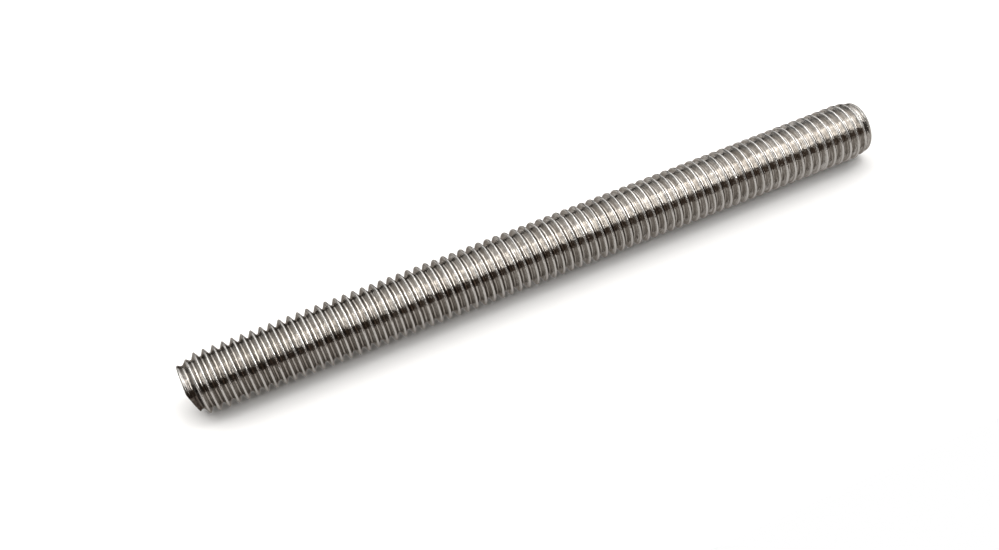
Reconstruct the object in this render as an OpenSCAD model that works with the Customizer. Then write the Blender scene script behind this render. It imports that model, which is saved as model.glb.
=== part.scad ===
// Threaded rod: a fully threaded metric rod in one solid piece, cropped to
// length. The axis runs along X, the origin is at mid-length on the axis, and
// the rod lies on a surface at z = -thread_d / 2. The thread is right-handed.

/* [Rod] */
// Overall length, end face to end face (mm)
rod_len = 98; // [20:1:120]
// Nominal thread diameter, measured over the crests (mm)
thread_d = 8; // [6:0.5:12]
// Thread pitch, crest to crest along the axis (mm)
pitch = 1.25; // [1:0.25:1.75]
// Where the crest crosses the top line of the rod, from the -X end (mm)
first_crest = 0.21; // [0:0.01:1]

/* [Ends] */
// How far the plain point at the -X end lies below the thread root (mm)
point_drop = 0.06; // [0:0.01:0.2]
// Length of the plain point at the -X end (mm)
point_len = 0.7; // [0.3:0.05:1.5]
// Length of the taper behind the point, where the thread grows to full height (mm)
point_lead = 1.5; // [0.5:0.05:3]
// How far the plain collar at the +X end stands above the thread root (mm)
collar_rise = 0.3; // [0:0.01:0.35]
// Length of the plain collar at the +X end (mm)
collar_len = 0.55; // [0.3:0.05:1.5]
// Length of the taper behind the collar, where the thread grows to full height (mm)
collar_lead = 1.7; // [0.5:0.05:3]
// Edge break around both end faces (mm)
edge_break = 0.12; // [0.05:0.01:0.25]

/* [Cropped end] */
// Angle between the crop facet and the -X end face (degrees)
crop_angle = 17; // [0:1:25]
// Distance from the axis to the edge where the crop facet starts (mm)
crop_offset = 0.3; // [0.2:0.1:2]
// Direction of the crop facet around the axis, 0 is straight down (degrees)
crop_turn = -35; // [-180:1:180]

/* [Hidden] */

steel = [0.70, 0.68, 0.65];

// ISO 68-1 metric profile, with the deeper root of an external thread
fund_h = pitch * sqrt(3) / 2;              // height of the sharp V
r_crest = thread_d / 2;
thread_depth = 17 / 24 * fund_h;           // crest to root
r_root = r_crest - thread_depth;
r_apex = r_crest + fund_h / 8;             // sharp V, before the crest is cut
half_w = (r_apex - r_root) * tan(30);      // half the ridge's width at the root

// The helix runs past both ends and is cut off there by the envelope
over = 1.5 * pitch;
turns = ceil((rod_len + 2 * over) / pitch) + 1;
seg = min(20, floor(11500 / (6 * turns))); // facets in each turn
rows = turns * seg;
x_start = -rod_len / 2 + first_crest - 3 * pitch;

// Facet corners stand slightly proud, so that each turn keeps the area of a
// true circle
proud = sqrt((2 * PI / seg) / sin(360 / seg));
ridge = [[-half_w, r_root * proud], [0, r_apex * proud], [half_w, r_root * proud]];

r_point = r_root - point_drop;
r_collar = r_root + collar_rise;
runout = 0.6;                              // length in which the groove fades out
runout_in = 0.1;                           // how far it reaches into the collar

// Point of the ridge's profile k on helix row i. The angle runs from the top
// of the rod towards -Y as x grows, which is a right-hand thread.
function on_helix(i, k) =
    let (a = 360 * i / seg, x = x_start + pitch * i / seg + ridge[k][0], r = ridge[k][1])
    [x, -r * sin(a), r * cos(a)];
function id(i, k) = 3 * i + k;
function quad(a, b, c, d) = [[a, b, c], [a, c, d]];

// One closed skin: the ridge's two flanks wound along the whole rod, the
// groove floor between one turn and the next, and a fan over each end
module thread_body() {
    points = concat(
        [for (i = [0 : rows]) for (k = [0 : 2]) on_helix(i, k)],
        [[x_start - pitch, 0, 0], [x_start + pitch * (turns + 1), 0, 0]]);
    tip = 3 * (rows + 1);
    flanks = [for (i = [0 : rows - 1]) for (k = [0 : 1])
        each quad(id(i, k), id(i, k + 1), id(i + 1, k + 1), id(i + 1, k))];
    floors = [for (i = [0 : rows - seg - 1])
        each quad(id(i, 2), id(i + seg, 0), id(i + seg + 1, 0), id(i + 1, 2))];
    rim0 = concat([for (i = [0 : seg]) id(i, 0)], [id(0, 2), id(0, 1)]);
    rim1 = concat([for (i = [rows - seg : rows]) id(i, 2)], [id(rows, 1), id(rows, 0)]);
    n = seg + 3;
    fan0 = [for (j = [0 : n - 1]) [tip, rim0[j], rim0[(j + 1) % n]]];
    fan1 = [for (j = [0 : n - 1]) [tip + 1, rim1[(j + 1) % n], rim1[j]]];
    polyhedron(points = points, faces = concat(flanks, floors, fan0, fan1), convexity = 10);
}

// Turned outer shape: crest cylinder, and at each end a taper, a plain point or
// collar, and the end face
module envelope() {
    h = rod_len / 2;
    rotate([0, 90, 0])
        rotate_extrude($fn = 96)
            polygon([
                [0, h], [r_collar - edge_break, h], [r_collar, h - edge_break],
                [r_collar, h - collar_len], [r_crest, h - collar_len - collar_lead],
                [r_crest, -h + point_len + point_lead], [r_point, -h + point_len],
                [r_point, -h + edge_break], [r_point - edge_break, -h], [0, -h]]);
}

// Core that fills the groove towards the collar, so that the thread runs out
module runout_core() {
    x0 = rod_len / 2 - collar_len - runout + runout_in;
    r0 = r_root - 0.1;
    slope = (r_collar - r0) / runout;
    rotate([0, 90, 0])
        rotate_extrude($fn = 96)
            polygon([[0, x0], [r0, x0], [r0 + slope * (collar_len + runout + 1), rod_len / 2 + 1], [0, rod_len / 2 + 1]]);
}

// What the cropping blade took off one side of the -X end
module crop_cut() {
    rotate([crop_turn, 0, 0])
        translate([-rod_len / 2, 0, -crop_offset])
            rotate([0, -crop_angle, 0])
                translate([-6, -thread_d, -1.5 * thread_d])
                    cube([6, 2 * thread_d, 1.5 * thread_d]);
}

module threaded_rod() {
    color(steel)
        difference() {
            intersection() {
                union() {
                    thread_body();
                    runout_core();
                }
                envelope();
            }
            crop_cut();
        }
}

threaded_rod();
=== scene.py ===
import math

import bpy
import numpy as np
from mathutils import Matrix, Vector, geometry


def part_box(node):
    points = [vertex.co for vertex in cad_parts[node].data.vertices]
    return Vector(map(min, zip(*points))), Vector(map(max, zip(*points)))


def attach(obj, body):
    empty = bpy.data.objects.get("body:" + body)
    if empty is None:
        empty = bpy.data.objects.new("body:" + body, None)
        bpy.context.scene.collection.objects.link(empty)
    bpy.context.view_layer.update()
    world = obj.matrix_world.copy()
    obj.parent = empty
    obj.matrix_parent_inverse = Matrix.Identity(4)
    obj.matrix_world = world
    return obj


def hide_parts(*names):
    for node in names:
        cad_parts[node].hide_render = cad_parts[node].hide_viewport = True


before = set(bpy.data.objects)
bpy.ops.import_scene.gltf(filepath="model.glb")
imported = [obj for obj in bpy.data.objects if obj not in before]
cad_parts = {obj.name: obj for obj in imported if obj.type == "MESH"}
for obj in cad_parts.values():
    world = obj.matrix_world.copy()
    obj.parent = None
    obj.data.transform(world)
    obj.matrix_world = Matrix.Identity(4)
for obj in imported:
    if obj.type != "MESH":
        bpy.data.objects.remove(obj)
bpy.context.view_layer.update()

MM = 0.001
lo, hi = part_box("threaded_rod")
HALF = (hi.x - lo.x) / 2 / MM                # half the rod's length, mm
R_CREST = (hi.z - lo.z) / 2 / MM             # crest radius, mm
R_CREST = min(R_CREST, (hi.y - lo.y) / 2 / MM)

# ---------------------------------------------------------------- dimensions
# The same numbers as the part's own source, in mm and degrees.
PITCH = 1.25
FIRST = 0.21
FUND = PITCH * math.sqrt(3) / 2
R_ROOT = 4.0 - 17 / 24 * FUND                # 3.233
R_POINT = R_ROOT - 0.06                      # plain point at the -X end
POINT_LEN, POINT_LEAD = 0.70, 1.50
R_COLLAR = R_ROOT + 0.30                     # plain collar at the +X end
COLLAR_LEN, COLLAR_LEAD = 0.55, 1.70
RUNOUT, RUNOUT_IN = 0.60, 0.10               # the groove fades out at the collar
EDGE = 0.12
CROP_ANGLE, CROP_OFFSET, CROP_TURN = 17.0, 0.3, -35.0
TAN_CROP = math.tan(math.radians(CROP_ANGLE))
R_MAX = R_CREST - 0.0005                     # nothing passes the CAD's own box

# ------------------------------------------------------------- small helpers


def hash01(*cells):
    """A repeatable value in 0..1 for whole-number cells."""
    h = np.zeros(np.broadcast(*cells).shape, np.uint64)
    for i, c in enumerate(cells):
        k = np.asarray(c, np.int64).astype(np.uint64) * np.uint64(0x9E3779B97F4A7C15 + 2 * i)
        h = (h ^ k) * np.uint64(0xBF58476D1CE4E5B9)
        h = h ^ (h >> np.uint64(29))
    h = h * np.uint64(0x94D049BB133111EB)
    h = h ^ (h >> np.uint64(32))
    return (h >> np.uint64(11)).astype(np.float64) / float(1 << 53)


def noise3(x, y, z, seed=0):
    """Smooth value noise, -1..1."""
    xi, yi, zi = np.floor(x), np.floor(y), np.floor(z)
    fx, fy, fz = x - xi, y - yi, z - zi
    fx, fy, fz = (t * t * (3 - 2 * t) for t in (fx, fy, fz))
    out = 0.0
    for dx in (0, 1):
        for dy in (0, 1):
            for dz in (0, 1):
                w = (fx if dx else 1 - fx) * (fy if dy else 1 - fy) * (fz if dz else 1 - fz)
                out = out + w * hash01(xi + dx, yi + dy, zi + dz, np.full_like(xi, seed))
    return 2 * out - 1


def smooth(a, b, x):
    t = np.clip((x - a) / (b - a), 0, 1)
    return t * t * (3 - 2 * t)


# ------------------------------------------------------- the thread's profile
# Half a pitch from crest to root: distance from the crest's middle, radius.
CREST_R = 0.14                               # the crest is round, the root nearly flat
half_profile = [(CREST_R * math.sin(math.radians(a)), CREST_R * (math.cos(math.radians(a)) - 1)) for a in (0, 15, 30, 45, 60)]
half_profile += [(0.215, -0.2371), (0.490, -0.7137), (0.512, -0.7450), (0.545, -0.7640)]
offs = [u for u, _ in half_profile] + [PITCH / 2] + [PITCH - u for u, _ in half_profile[:0:-1]]
rads = [4.0 + d for _, d in half_profile] + [R_ROOT] + [4.0 + d for _, d in half_profile[:0:-1]]
M = len(offs)                                # samples in a pitch
N = 60                                       # columns round the rod
offs, rads = np.array(offs), np.array(rads)
arc = np.concatenate([[0], np.cumsum(np.hypot(np.diff(np.append(offs, PITCH)), np.diff(np.append(rads, 4.0))))])
PROFILE_LEN = arc[-1]                        # developed length of a pitch

# Columns: a = 0 is the top line, and it grows towards -Y. Two columns stand
# exactly where the crop facet's edge leaves the end face.
ang = 2 * math.pi * np.arange(N) / N
rim_r = R_POINT - EDGE                       # radius of the -X end face
turn = math.radians(CROP_TURN)
# direction of the crop around the axis: 0 is straight down, as the source turns it about +X
crop_dir = np.array([math.sin(turn), -math.cos(turn)])        # (y, z)
crop_a = math.atan2(-crop_dir[0], crop_dir[1])                # same direction as a column angle
for sign in (-1, 1):
    want = (crop_a + sign * math.acos(CROP_OFFSET / rim_r)) % (2 * math.pi)
    near = np.argmin(np.abs((ang - want + math.pi) % (2 * math.pi) - math.pi))
    ang[near] = want if near else (want if want < math.pi else want - 2 * math.pi)


RIM = 0.31                                   # the collar's worn rim

def envelope(x):
    """Radius of the turned outer shape at x."""
    return np.interp(x, [-HALF, -HALF + EDGE, -HALF + POINT_LEN, -HALF + POINT_LEN + POINT_LEAD,
                         HALF - COLLAR_LEN - COLLAR_LEAD, HALF - COLLAR_LEN, HALF - 0.45, HALF - 0.36, HALF - 0.24, HALF - 0.13, HALF - 0.05, HALF],
                     [R_POINT - EDGE, R_POINT, R_POINT, R_MAX, R_MAX,
                      R_COLLAR, R_COLLAR - 0.004, R_COLLAR - 0.022, R_COLLAR - 0.08, R_COLLAR - 0.17, R_COLLAR - 0.255, R_COLLAR - RIM])


def core(x):
    """Radius of the core that fills the groove towards the collar."""
    x0 = HALF - COLLAR_LEN - RUNOUT + RUNOUT_IN
    r0 = R_ROOT - 0.1
    return np.where(x < x0, 0.0, r0 + (R_COLLAR - r0) / RUNOUT * (x - x0))


def left_limit(a, r):
    """x of the -X end's surface: the end face, or the crop facet that slopes back from it."""
    y, z = -r * np.sin(a), r * np.cos(a)
    depth = y * crop_dir[0] + z * crop_dir[1]
    return -HALF + np.maximum(0, depth - CROP_OFFSET) * TAN_CROP


def wear(a, x, turn_no, u):
    """Small unevenness of a rolled thread, in mm, along the helix."""
    s = (a / (2 * math.pi) + turn_no) * 2 * math.pi * 3.6
    n = 0.0045 * noise3(s / 1.7, u * 2.4 + 7, turn_no * 0, 11)
    n += 0.0030 * noise3(s / 0.55, u * 6.0 + 3, turn_no * 0, 12)
    return n


# Row k of column j lies at x = PITCH * a / 2 pi + PITCH * (k // M) + offset.
first_turn = -4
turns = int(math.ceil(2 * HALF / PITCH)) + 8
K = turns * M
ks = np.arange(K)
base = -HALF + FIRST + PITCH * (first_turn + ks // M) + offs[ks % M]
prof = rads[ks % M]
X = base[None, :] + PITCH * ang[:, None] / (2 * math.pi)
A = np.repeat(ang[:, None], K, 1)
u_abs = np.minimum(offs[ks % M], PITCH - offs[ks % M])
turn_no = np.repeat((first_turn + ks // M)[None, :].astype(float), N, 0)
U = np.repeat(u_abs[None, :], N, 0)

# A few knocks on crests, as on any handled rod: (x mm, angle deg, length mm, depth mm)
knocks = [(-37.3, 63, 0.9, 0.10), (-21.6, 24, 0.6, 0.07), (-8.9, 96, 0.8, 0.09), (6.4, 41, 0.5, 0.06),
          (15.2, 118, 0.9, 0.08), (27.8, 52, 0.7, 0.08), (36.1, 84, 0.5, 0.06), (-30.2, 201, 1.0, 0.11),
          (-12.4, 246, 0.7, 0.08), (9.7, 188, 0.8, 0.10), (31.5, 274, 0.9, 0.09), (-42.0, 318, 0.6, 0.07),
          (41.8, 158, 0.6, 0.07), (20.9, 331, 0.7, 0.08)]

thread_r = np.repeat(prof[None, :], N, 0)
thread_r = thread_r + wear(A, X, turn_no, U)
for kx, kd, kl, kh in knocks:
    da = (A - math.radians(kd) + math.pi) % (2 * math.pi) - math.pi
    g = np.exp(-((da * 4 / kl) ** 2 + ((X - kx) / 0.5) ** 2))
    flat = 4.0 - kh * g
    thread_r = np.minimum(thread_r, np.where(g > 0.05, flat, 9.0))

# The first turns at the point are only half formed: low, with their own round tops.
grow = 0.36 + 0.64 * smooth(-HALF + 0.35, -HALF + 2.75, X)
foot = R_POINT - 0.21 + (R_ROOT - R_POINT + 0.21) * smooth(-HALF + 0.9, -HALF + 2.1, X)
thread_r = np.where(X < -HALF + 2.75, foot + (thread_r - R_ROOT) * grow, thread_r)

# Rows next to a turned edge move onto it, so that the edge is crisp.
for edge in (HALF - 0.05, HALF - 0.13, HALF - 0.24, HALF - 0.36, HALF - 0.45, HALF - COLLAR_LEN, -HALF + EDGE):
    j = np.arange(N)
    k = np.abs(X - edge).argmin(1)
    X[j, k] = edge

thread_r = np.maximum(thread_r, core(X))
R = np.minimum(thread_r, envelope(X))
x_left = left_limit(A, R)
for _ in range(8):
    x_left = left_limit(A, np.minimum(thread_r, envelope(np.maximum(X, x_left))))
cut = X <= x_left
# the last cut row of each column stays, on the end's own surface
k_lo = cut.sum(1) - 1
k_hi = (X < HALF).sum(1)
for j in range(N):
    k = k_lo[j]
    t0, t1 = 0.0, 1.0
    for _ in range(40):                      # where this column's line meets the end surface
        t = (t0 + t1) / 2
        x = X[j, k] + t * (X[j, k + 1] - X[j, k])
        r = min(float(envelope(x)), thread_r[j, k] + t * (thread_r[j, k + 1] - thread_r[j, k]))
        if x <= left_limit(ang[j], r):
            t0 = t
        else:
            t1 = t
    X[j, k], R[j, k] = max(x, -HALF), r
    if x < -HALF + 1e-6:
        X[j, k], R[j, k] = -HALF, rim_r
    X[j, k_hi[j]], R[j, k_hi[j]] = HALF, R_COLLAR - RIM

# ----------------------------------------------------------------- the mesh
index = -np.ones((N, K), int)
verts, att, worked, point_stain_shade_list = [], [], [], []
for j in range(N):
    for k in range(k_lo[j], k_hi[j] + 1):
        index[j, k] = len(verts)
        a, r, x = ang[j], R[j, k], X[j, k]
        verts.append((x, -r * math.sin(a), r * math.cos(a)))
        p = 2 * math.pi * arc[k % M] / PROFILE_LEN
        s = (a / (2 * math.pi) + first_turn + k // M) * 2 * math.pi * 3.6
        att.append((math.cos(p), math.sin(p), s))
        worked.append(1.0 if thread_r[j, k] > R[j, k] + 0.004 and x > 0 or x > HALF - COLLAR_LEN - 0.2 else 0.0)
        # the first turns at the point are darker: a stain on their flanks and on the plain point, and painted shade on
        # their -Y side and underneath
        under = float(smooth(math.radians(56), math.radians(74), a) * (1 - smooth(math.radians(200), math.radians(240), a)))
        near = float(1 - smooth(-HALF + 1.5, -HALF + 2.7, x))
        plain = 0.5 * float(1 - smooth(-HALF + 0.62, -HALF + 0.80, x)) * float(smooth(-HALF + 0.12, -HALF + 0.30, x))
        point_stain_shade_list.append(near * min(1.0, 0.5 * abs(math.sin(p)) + plain + 0.9 * under * float(1 - smooth(-HALF + 1.15, -HALF + 1.5, x))))
faces = []
# Column j is laced to column j + 1. Past the last column, row k meets row k + M
# of the first, one turn on.
for j in range(N):
    j2 = (j + 1) % N
    shift = M if j + 1 == N else 0
    p, p_end = k_lo[j], k_hi[j]
    q, q_end = k_lo[j2] - shift, k_hi[j2] - shift
    while p < p_end or q < q_end:
        if p < p_end and (p <= q or q == q_end):
            faces.append((index[j, p], index[j2, q + shift], index[j, p + 1]))
            p += 1
        else:
            faces.append((index[j, p], index[j2, q + shift], index[j2, q + shift + 1]))
            q += 1

side_faces = len(faces)


def cap(end):
    """Triangulates one end from its rim, with a crease where the crop facet starts and small relief left by the saw or shear."""
    if end > 0:
        rim = [index[j, k_hi[j]] for j in range(N)]
    else:
        rim = [index[j, k_lo[j]] for j in range(N)]
    pts = [(verts[i][1], verts[i][2]) for i in rim]
    edges = [(i, (i + 1) % N) for i in range(N)]
    count = N
    r_in = 3.8
    step = 0.21
    if end < 0:                              # points along the crease, from rim to rim
        side = np.array([-crop_dir[1], crop_dir[0]])
        w = math.sqrt(rim_r ** 2 - CROP_OFFSET ** 2)
        on_crease = []
        ends = []
        for sign in (-1, 1):
            q = crop_dir * CROP_OFFSET + side * w * sign
            ends.append(int(np.argmin([math.hypot(q[0] - p[0], q[1] - p[1]) for p in pts])))
        line = []
        for t in np.linspace(-1, 1, 25)[1:-1]:
            q = crop_dir * CROP_OFFSET + side * w * t
            line.append(count)
            pts.append((float(q[0]), float(q[1])))
            count += 1
        chain = [ends[0]] + line + [ends[1]]
        edges += [(chain[i], chain[i + 1]) for i in range(len(chain) - 1)]
    rows = int(r_in / step) + 1
    rim_pts = np.array(pts[:N])
    rim_ang = np.arctan2(rim_pts[:, 1], rim_pts[:, 0])
    rim_len = np.hypot(rim_pts[:, 0], rim_pts[:, 1])
    order = np.argsort(rim_ang)
    ra, rl = rim_ang[order], rim_len[order]
    ra = np.concatenate([ra - 2 * math.pi, ra, ra + 2 * math.pi])
    rl = np.concatenate([rl, rl, rl])
    for i in range(-rows, rows + 1):
        for m in range(-rows, rows + 1):
            y = (i + 0.5 * (m % 2)) * step
            z = m * step * 0.866
            q = math.hypot(y, z)
            if q > float(np.interp(math.atan2(z, y), ra, rl)) - 0.09:
                continue
            if end < 0 and abs(y * crop_dir[0] + z * crop_dir[1] - CROP_OFFSET) < 0.09:
                continue
            pts.append((y, z))
            count += 1
    out = geometry.delaunay_2d_cdt([Vector(p) for p in pts], edges, [list(range(N))], 1, 1e-7)
    new_pts, _, new_faces, orig = out[0], out[1], out[2], out[3]
    ids = []
    for p, o in zip(new_pts, orig):
        kept = [q for q in o if q < N]
        if kept:
            ids.append(rim[kept[0]])
            continue
        y, z = p
        q = math.hypot(y, z)
        inner = 1 - smooth(0.75, 1.0, np.array(q / np.interp(math.atan2(z, y), ra, rl)))
        if end > 0:
            # a sawn face: shallow bowed steps, deepest near one side
            c = 0.012 * noise3(np.array((y * 0.9 + z * 0.35) * 2.2), np.array(z * 0.25), np.array(0.5), 21)
            c += 0.010 * noise3(np.array(y * 0.8), np.array(z * 0.8), np.array(3.5), 22)
            x = HALF - float(inner) * (0.014 + float(c)) * 0.8
            x = min(x, HALF)
        else:
            x = float(left_limit(math.atan2(-y, z), q))
            depth = y * crop_dir[0] + z * crop_dir[1]
            c = 0.014 * noise3(np.array(depth * 2.6), np.array((y * crop_dir[1] - z * crop_dir[0]) * 0.5), np.array(0.5), 23)
            c += 0.012 * noise3(np.array(y * 0.9), np.array(z * 0.9), np.array(5.5), 24)
            near = 1 - math.exp(-((depth - CROP_OFFSET) / 0.25) ** 2)
            x = x + float(inner) * near * (0.016 + float(c)) * 0.8
            x = max(x, -HALF)
        ids.append(len(verts))
        verts.append((x, y, z))
        att.append((y, z, 500.0 + 100 * end))
    for f in new_faces:
        loop = [ids[i] for i in f]
        n = np.cross(np.array(verts[loop[1]]) - verts[loop[0]], np.array(verts[loop[2]]) - verts[loop[0]])
        if n[0] * end < 0:
            loop.reverse()
        faces.append(tuple(loop))


cap(1)
plus_end = len(faces)
cap(-1)

mesh = bpy.data.meshes.new("rod")
mesh.from_pydata([(x * MM, y * MM, z * MM) for x, y, z in verts], [], [tuple(int(i) for i in f) for f in faces])
mesh.validate(clean_customdata=False)
mesh.update()
skin = mesh.attributes.new("helix", "FLOAT_VECTOR", "POINT")
skin.data.foreach_set("vector", np.array(att, np.float32).ravel())
bare = mesh.attributes.new("turned", "FLOAT", "POINT")
bare.data.foreach_set("value", np.array(worked + [0.0] * (len(verts) - len(worked)), np.float32))
# the point's stain, together with the painted shade on its -Y side and underneath
point_stain_and_shade = mesh.attributes.new("point_stain_and_shade", "FLOAT", "POINT")
point_stain_and_shade.data.foreach_set("value", np.array(point_stain_shade_list + [0.0] * (len(verts) - len(point_stain_shade_list)), np.float32))
on_end = mesh.attributes.new("end_face", "FLOAT", "FACE")
flags = np.zeros(len(mesh.polygons), np.float32)
flags[side_faces:] = 1
on_end.data.foreach_set("value", flags)
mesh.polygons.foreach_set("use_smooth", np.ones(len(mesh.polygons), bool))
mesh.set_sharp_from_angle(angle=math.radians(38))
rod = bpy.data.objects.new("rod", mesh)
bpy.context.scene.collection.objects.link(rod)

# -------------------------------------------------------------- the material


class Nodes:
    """Short names for building a node tree."""

    def __init__(self, tree):
        self.tree = tree
        tree.nodes.clear()

    def new(self, kind, **settings):
        n = self.tree.nodes.new(kind)
        for key, value in settings.items():
            setattr(n, key, value)
        return n

    def link(self, source, target):
        self.tree.links.new(source, target)
        return target

    def put(self, socket, value):
        if hasattr(value, "is_output") or isinstance(value, bpy.types.NodeSocket):
            self.link(value, socket)
        else:
            socket.default_value = value

    def math(self, op, a, b=None, c=None, clamp=False):
        n = self.new("ShaderNodeMath", operation=op, use_clamp=clamp)
        self.put(n.inputs[0], a)
        if b is not None:
            self.put(n.inputs[1], b)
        if c is not None:
            self.put(n.inputs[2], c)
        return n.outputs[0]

    def ramp(self, value, x0, x1, y0=0.0, y1=1.0, kind="SMOOTHSTEP"):
        n = self.new("ShaderNodeMapRange", interpolation_type=kind, clamp=True)
        self.put(n.inputs["Value"], value)
        self.put(n.inputs["From Min"], x0)
        self.put(n.inputs["From Max"], x1)
        self.put(n.inputs["To Min"], y0)
        self.put(n.inputs["To Max"], y1)
        return n.outputs["Result"]

    def noise(self, vector, scale, detail=2.0, rough=0.5, distortion=0.0):
        n = self.new("ShaderNodeTexNoise", noise_dimensions="3D")
        self.put(n.inputs["Vector"], vector)
        self.put(n.inputs["Scale"], scale)
        self.put(n.inputs["Detail"], detail)
        self.put(n.inputs["Roughness"], rough)
        self.put(n.inputs["Distortion"], distortion)
        return n.outputs["Fac"]

    def vec(self, x, y, z):
        n = self.new("ShaderNodeCombineXYZ")
        for i, v in enumerate((x, y, z)):
            self.put(n.inputs[i], v)
        return n.outputs[0]

    def xyz(self, vector):
        n = self.new("ShaderNodeSeparateXYZ")
        self.put(n.inputs[0], vector)
        return n.outputs

    def mix(self, fac, a, b):
        n = self.new("ShaderNodeMix", data_type="RGBA", clamp_factor=True)
        self.put(n.inputs["Factor"], fac)
        sockets = [s for s in n.inputs if s.type == "RGBA"]
        self.put(sockets[0], a)
        self.put(sockets[1], b)
        return [s for s in n.outputs if s.type == "RGBA"][0]


steel = bpy.data.materials.new("steel_rolled")
steel.use_nodes = True
t = Nodes(steel.node_tree)
out = t.new("ShaderNodeOutputMaterial")
bsdf = t.new("ShaderNodeBsdfPrincipled")
t.link(bsdf.outputs[0], out.inputs["Surface"])

helix = t.new("ShaderNodeAttribute", attribute_name="helix")
hx, hy, hs = t.xyz(helix.outputs["Vector"])
coord = t.new("ShaderNodeTexCoord")
obj = t.new("ShaderNodeVectorMath", operation="SCALE")
t.link(coord.outputs["Object"], obj.inputs[0])
obj.inputs["Scale"].default_value = 1000.0
place = obj.outputs[0]
px, py, pz = t.xyz(place)
skin_kind = t.new("ShaderNodeAttribute", attribute_name="turned")
turned = skin_kind.outputs["Fac"]
point_stain_shade_node = t.new("ShaderNodeAttribute", attribute_name="point_stain_and_shade")
point_stain_shade_fac = point_stain_shade_node.outputs["Fac"]
radius = t.math("SQRT", t.math("ADD", t.math("MULTIPLY", py, py), t.math("MULTIPLY", pz, pz)))
depth = t.ramp(radius, 3.2, 4.0)             # 0 in the root, 1 on the crest

# drawn-out rolling marks that follow the helix
streak_at = t.vec(t.math("MULTIPLY", hx, 3.4), t.math("MULTIPLY", hy, 3.4), t.math("MULTIPLY", hs, 0.30))
streak = t.noise(streak_at, 1.0, 4.0, 0.62)
fine_at = t.vec(t.math("MULTIPLY", hx, 9.0), t.math("MULTIPLY", hy, 9.0), t.math("MULTIPLY", hs, 0.55))
fine = t.noise(fine_at, 1.0, 2.0, 0.5)
coarse_at = t.vec(t.math("MULTIPLY", hx, 1.3), t.math("MULTIPLY", hy, 1.3), t.math("MULTIPLY", hs, 0.20))
coarse = t.noise(coarse_at, 1.0, 1.0, 0.5)
# mottling and pits of the cold-worked skin
mottle = t.noise(place, 2.2, 2.0, 0.5)
pit = t.ramp(t.noise(place, 7.5, 2.0, 0.6), 0.66, 0.76)

steel_light, steel_mid, steel_dark = (0.71, 0.70, 0.686, 1), (0.61, 0.60, 0.583, 1), (0.33, 0.306, 0.278, 1)
# the next colour darkens the pits, and is also the painted shade on the flanks that face +X
pit_dark_and_flank_shade = (0.225, 0.195, 0.17, 1)
tone = t.mix(t.ramp(streak, 0.34, 0.66), steel_mid, steel_light)
# drawn-out darker lines, mostly on the flanks
tone = t.mix(t.math("MULTIPLY", t.ramp(coarse, 0.59, 0.41, 0.0, 0.62), t.ramp(hx, 0.85, 0.55)), tone, steel_dark)
# lines that the rolling dies leave at the same place in every turn
lines = t.noise(t.vec(t.math("MULTIPLY", hx, 1.9), t.math("MULTIPLY", hy, 1.9), t.math("MULTIPLY", hs, 0.012)), 1.0, 2.0, 0.6)
tone = t.mix(t.math("MULTIPLY", t.ramp(lines, 0.56, 0.42, 0.0, 0.55), t.ramp(hx, 0.85, 0.55)), tone, steel_dark)
# blotches where the skin smeared under the rolls
blotch = t.noise(t.vec(t.math("MULTIPLY", hx, 2.4), t.math("MULTIPLY", hy, 2.4), t.math("MULTIPLY", hs, 1.5)), 1.0, 2.0, 0.55)
tone = t.mix(t.math("MULTIPLY", t.ramp(blotch, 0.56, 0.38, 0.0, 0.55), t.ramp(hx, 0.90, 0.60)), tone, steel_dark)
# the root is duller than the flanks and the crest
tone = t.mix(t.math("MULTIPLY", t.ramp(hx, -0.62, -0.92), t.ramp(mottle, 0.30, 0.75, 0.25, 0.6)), tone, steel_dark)
# painted shade: the flanks that face +X are darkened all round the rod, except where the thread was turned
flank_shade = t.math("MULTIPLY", t.ramp(hy, 0.30, 0.62), t.ramp(t.math("ADD", coarse, t.math("MULTIPLY", mottle, 0.5)), 0.45, 1.0, 0.0, 0.10))
flank_shade = t.math("MULTIPLY", flank_shade, t.math("SUBTRACT", 1.0, turned))
tone = t.mix(flank_shade, tone, pit_dark_and_flank_shade)
tone = t.mix(t.math("MULTIPLY", pit, 0.5), tone, pit_dark_and_flank_shade)
# the first turns at the point are darkened: a stain, and painted shade on their -Y side and underneath
tone = t.mix(t.math("MULTIPLY", point_stain_shade_fac, t.ramp(mottle, 0.2, 0.6, 0.8, 1.0)), tone, (0.085, 0.07, 0.06, 1))
t.link(tone, bsdf.inputs["Base Color"])
bsdf.inputs["Metallic"].default_value = 1.0
bsdf.inputs["Specular Tint"].default_value = (0.36, 0.34, 0.325, 1)
rough = t.math("ADD", t.ramp(streak, 0.3, 0.7, 0.03, 0.06), t.ramp(mottle, 0.3, 0.8, 0.0, 0.025))
rough = t.math("ADD", rough, t.math("MULTIPLY", t.ramp(depth, 0.85, 0.97), 0.06))
rough = t.math("ADD", rough, t.math("ADD", t.math("MULTIPLY", pit, 0.12), t.math("MULTIPLY", turned, 0.14)))
t.link(rough, bsdf.inputs["Roughness"])

height = t.math("ADD", t.math("MULTIPLY", streak, 0.35), t.math("MULTIPLY", coarse, 1.25))
height = t.math("ADD", height, t.math("MULTIPLY", fine, 0.12))
height = t.math("ADD", height, t.math("ADD", t.math("MULTIPLY", mottle, 1.0), t.math("MULTIPLY", blotch, 0.8)))
height = t.math("ADD", height, t.math("MULTIPLY", lines, 0.9))
height = t.math("SUBTRACT", height, t.math("MULTIPLY", pit, 0.3))
bump = t.new("ShaderNodeBump")
bump.inputs["Strength"].default_value = 1.0
bump.inputs["Distance"].default_value = 0.00003
t.link(height, bump.inputs["Height"])
t.link(bump.outputs[0], bsdf.inputs["Normal"])

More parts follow.
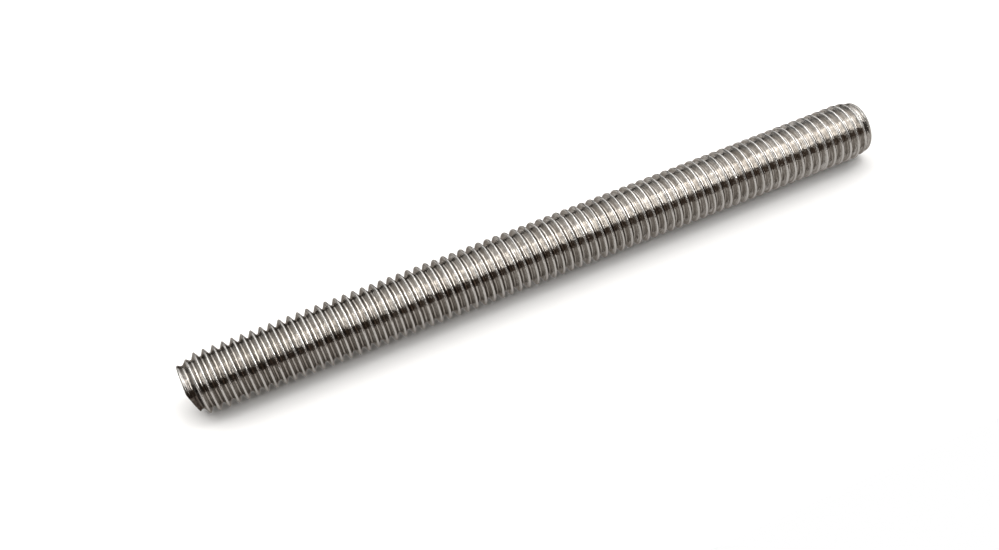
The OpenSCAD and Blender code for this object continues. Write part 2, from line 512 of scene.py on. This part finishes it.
# the ends: sawn or sheared, flat and matt, with marks straight across
cut_mat = bpy.data.materials.new("steel_cut")
cut_mat.use_nodes = True
t = Nodes(cut_mat.node_tree)
out = t.new("ShaderNodeOutputMaterial")
bsdf = t.new("ShaderNodeBsdfPrincipled")
t.link(bsdf.outputs[0], out.inputs["Surface"])
coord = t.new("ShaderNodeTexCoord")
obj = t.new("ShaderNodeVectorMath", operation="SCALE")
t.link(coord.outputs["Object"], obj.inputs[0])
obj.inputs["Scale"].default_value = 1000.0
px, py, pz = t.xyz(obj.outputs[0])
across = t.math("ADD", t.math("MULTIPLY", py, 0.88), t.math("MULTIPLY", pz, 0.47))
along = t.math("SUBTRACT", t.math("MULTIPLY", pz, 0.88), t.math("MULTIPLY", py, 0.47))
bow = t.math("ADD", across, t.math("MULTIPLY", t.math("MULTIPLY", along, along), 0.02))
marks = t.noise(t.vec(t.math("MULTIPLY", bow, 7.0), t.math("MULTIPLY", along, 0.35), px), 1.0, 3.0, 0.6)
cloud = t.noise(obj.outputs[0], 0.9, 3.0, 0.5)
tone = t.mix(t.ramp(marks, 0.36, 0.64), (0.40, 0.385, 0.365, 1), (0.66, 0.645, 0.62, 1))
tone = t.mix(t.ramp(cloud, 0.42, 0.70, 0.0, 0.6), tone, (0.36, 0.342, 0.32, 1))
t.link(tone, bsdf.inputs["Base Color"])
bsdf.inputs["Metallic"].default_value = 1.0
t.link(t.math("ADD", t.ramp(marks, 0.3, 0.7, 0.40, 0.28), t.ramp(cloud, 0.3, 0.7, 0.0, 0.10)), bsdf.inputs["Roughness"])
bump = t.new("ShaderNodeBump")
bump.inputs["Strength"].default_value = 1.0
bump.inputs["Distance"].default_value = 0.00004
t.link(marks, bump.inputs["Height"])
t.link(bump.outputs[0], bsdf.inputs["Normal"])

mesh.materials.append(steel)
mesh.materials.append(cut_mat)
slots = np.zeros(len(mesh.polygons), np.int32)
slots[side_faces:] = 1
mesh.polygons.foreach_set("material_index", slots)

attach(rod, "root")
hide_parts("threaded_rod")

# --------------------------------------------------------- floor and lights
scene = bpy.context.scene
floor_mesh = bpy.data.meshes.new("floor")
# a sheet of white paper, whose front edge lies just in front of the camera's view
floor_mesh.from_pydata([(-0.20, -0.05, 0), (0.20, -0.05, 0), (0.20, 0.20, 0), (-0.20, 0.20, 0)], [], [(0, 1, 2, 3)])
floor = bpy.data.objects.new("floor", floor_mesh)
floor.location = (0, 0, lo.z)
scene.collection.objects.link(floor)
paper = bpy.data.materials.new("paper")
paper.use_nodes = True
t = Nodes(paper.node_tree)
out = t.new("ShaderNodeOutputMaterial")
white = t.new("ShaderNodeBsdfDiffuse")
white.inputs["Color"].default_value = (0.88, 0.88, 0.88, 1)
dull = t.new("ShaderNodeBsdfDiffuse")                          # as the steel mirrors it
path = t.new("ShaderNodeLightPath")
again = t.math("MINIMUM", path.outputs["Diffuse Depth"], 1.0)
t.link(t.mix(again, (0.15, 0.145, 0.14, 1), (0.12, 0.115, 0.11, 1)), dull.inputs["Color"])
glow = t.new("ShaderNodeEmission")                             # an even part, which the rod's own shadow doesn't darken
glow.inputs["Color"].default_value = (0.52, 0.498, 0.477, 1)
both = t.new("ShaderNodeAddShader")
t.link(dull.outputs[0], both.inputs[0])
t.link(glow.outputs[0], both.inputs[1])
pick = t.new("ShaderNodeMixShader")
t.link(path.outputs["Is Glossy Ray"], pick.inputs[0])
t.link(white.outputs[0], pick.inputs[1])
t.link(both.outputs[0], pick.inputs[2])
t.link(pick.outputs[0], out.inputs["Surface"])
floor_mesh.materials.append(paper)

world = bpy.data.worlds.new("studio")
scene.world = world
world.use_nodes = True
t = Nodes(world.node_tree)
out = t.new("ShaderNodeOutputWorld")
back = t.new("ShaderNodeBackground")
t.link(back.outputs[0], out.inputs["Surface"])
coord = t.new("ShaderNodeTexCoord")
dx, dy, dz = t.xyz(coord.outputs["Generated"])
phi = t.math("ARCTAN2", t.math("MULTIPLY", dy, -1.0), dz)      # 0 overhead, grows towards the camera's side
deg = math.pi / 180
rear = t.ramp(dx, 0.0, 0.13, -33 * deg, -3 * deg)              # rear edge of the overhead panel
front = t.math("SUBTRACT", phi, t.ramp(dx, -0.02, 0.30, -3 * deg, 17 * deg, "LINEAR"))  # its front edge lies lower to the right
key = t.math("MULTIPLY",
             t.ramp(t.math("SUBTRACT", phi, rear), -2.5 * deg, 2.5 * deg),
             t.ramp(front, 28 * deg, 46 * deg, 1.0, 0.0))
key = t.math("MULTIPLY", key, t.math("MULTIPLY", t.ramp(dx, 0.56, 0.70, 1.0, 0.0), t.ramp(dx, -0.65, -0.45)))
key = t.math("MULTIPLY", key, t.math("MULTIPLY", t.ramp(dx, 0.02, 0.42, 0.95, 4.6), t.ramp(phi, -12 * deg, 24 * deg, 1.45, t.ramp(dx, 0.0, 0.42, 0.43, 0.95))))
# the panel is two lamps: a little less light between them
gap = t.math("MULTIPLY", t.ramp(phi, 14 * deg, 24 * deg), t.ramp(phi, 27 * deg, 36 * deg, 1.0, 0.0))
key = t.math("MULTIPLY", key, t.math("SUBTRACT", 1.0, t.math("MULTIPLY", gap, t.ramp(dx, 0.02, 0.15, 0.0, 0.45))))
over = t.math("MULTIPLY", t.ramp(phi, -80 * deg, -72 * deg, 0.05, 1.0), t.ramp(phi, -62 * deg, -32 * deg, 0.62, 1.0))
over = t.math("MULTIPLY", over, t.ramp(dx, 0.20, 0.40, 1.70, 1.45))
low = t.math("MULTIPLY", t.ramp(front, 32 * deg, 47 * deg), t.ramp(dx, 0.05, 0.40, 0.055, 0.19))
middle = t.math("MULTIPLY", t.ramp(dx, -0.62, -0.40), t.ramp(dx, 0.62, 0.76, 1.0, 0.0))
over = t.math("MULTIPLY", t.math("MULTIPLY", over, t.ramp(front, 32 * deg, 47 * deg, 1.0, 0.0)), middle)
low = t.math("MULTIPLY", low, middle)
# the walls at both ends: light up to the panel's height and dark towards the camera's side
side = t.math("MULTIPLY", t.ramp(phi, -55 * deg, -25 * deg, 0.30, 1.0), t.ramp(phi, 0.0, 18 * deg, 1.0, 0.10))
left = t.math("MULTIPLY", t.ramp(dx, -0.62, -0.40, 1.0, 0.0), t.math("MULTIPLY", side, 0.55))
right = t.math("MULTIPLY", t.ramp(dx, 0.62, 0.76), t.math("MULTIPLY", side, 0.9))
far = t.ramp(t.math("ABSOLUTE", dx), 0.86, 0.93, 0.0, 0.45)     # the far ends of the room are evenly grey
left = t.math("MAXIMUM", left, t.math("MULTIPLY", far, t.ramp(dx, -0.1, 0.1, 1.0, 0.0)))
right = t.math("MAXIMUM", right, t.math("MAXIMUM", t.math("MULTIPLY", far, t.ramp(dx, -0.1, 0.1)), t.ramp(dx, 0.76, 0.82, 0.0, 0.25)))
lit = t.math("ADD", t.math("ADD", over, key), t.math("ADD", left, right))
total = t.math("ADD", lit, low)
# what lights the table: a broad soft box overhead and the bright wall behind
box = t.math("ADD", t.ramp(phi, -52 * deg, -14 * deg, 0.0, 2.2), t.ramp(phi, -28 * deg, 13 * deg, 0.0, -2.15))
wall = t.ramp(phi, -56 * deg, -44 * deg, 4.2, 0.35)
soft = t.math("ADD", box, t.math("MULTIPLY", wall, t.ramp(phi, -30 * deg, 0.0, 1.0, 0.0)))
seen = t.new("ShaderNodeLightPath")
level = t.new("ShaderNodeMix", data_type="FLOAT")
t.link(t.math("MINIMUM", seen.outputs["Diffuse Depth"], 1.0), level.inputs[0])
t.link(total, level.inputs[2])
t.link(t.math("MULTIPLY", soft, t.ramp(seen.outputs["Is Glossy Ray"], 0.0, 1.0, 1.0, 0.3)), level.inputs[3])
sight = t.new("ShaderNodeMix", data_type="FLOAT")
t.link(seen.outputs["Is Camera Ray"], sight.inputs[0])
t.link(level.outputs[0], sight.inputs[2])
sight.inputs[3].default_value = 1.0
t.link(sight.outputs[0], back.inputs["Strength"])
# the dark side of the room is brown
brown = t.math("MULTIPLY", t.math("DIVIDE", low, t.math("ADD", total, 0.001)), seen.outputs["Is Glossy Ray"])
lamps = t.mix(brown, (1.0, 0.985, 0.965, 1), (1.0, 0.74, 0.57, 1))
t.link(t.mix(seen.outputs["Is Camera Ray"], lamps, (1.0, 1.0, 1.0, 1)), back.inputs["Color"])

scene.view_settings.view_transform = "Standard"
scene.view_settings.look = "None"
scene.view_settings.exposure = 0.0
scene.view_settings.gamma = 1.0

# ------------------------------------------------------------------- camera
# Azimuth, height and roll as the photograph shows the front rod, here lying flat.
cam_data = bpy.data.cameras.new("camera")
cam_data.sensor_width = 36.0
cam_data.sensor_fit = "HORIZONTAL"
cam_data.lens = 48.2883
cam_data.dof.use_dof = False
cam_data.clip_start, cam_data.clip_end = 0.01, 20.0
cam = bpy.data.objects.new("camera", cam_data)
scene.collection.objects.link(cam)
right = Vector((0.90991754, -0.38919785, -0.14344028)).normalized()
up = Vector((0.35778727, 0.5614915, 0.74613374))
backward = right.cross(up).normalized()
up = backward.cross(right)
cam.matrix_world = Matrix.Translation(Vector((-43.2472, -128.8245, 113.3346)) * MM) @ Matrix((right, up, backward)).transposed().to_4x4()
scene.camera = cam

print("rod mesh:", len(mesh.vertices), "vertices", sum(len(p.vertices) - 2 for p in mesh.polygons), "triangles")
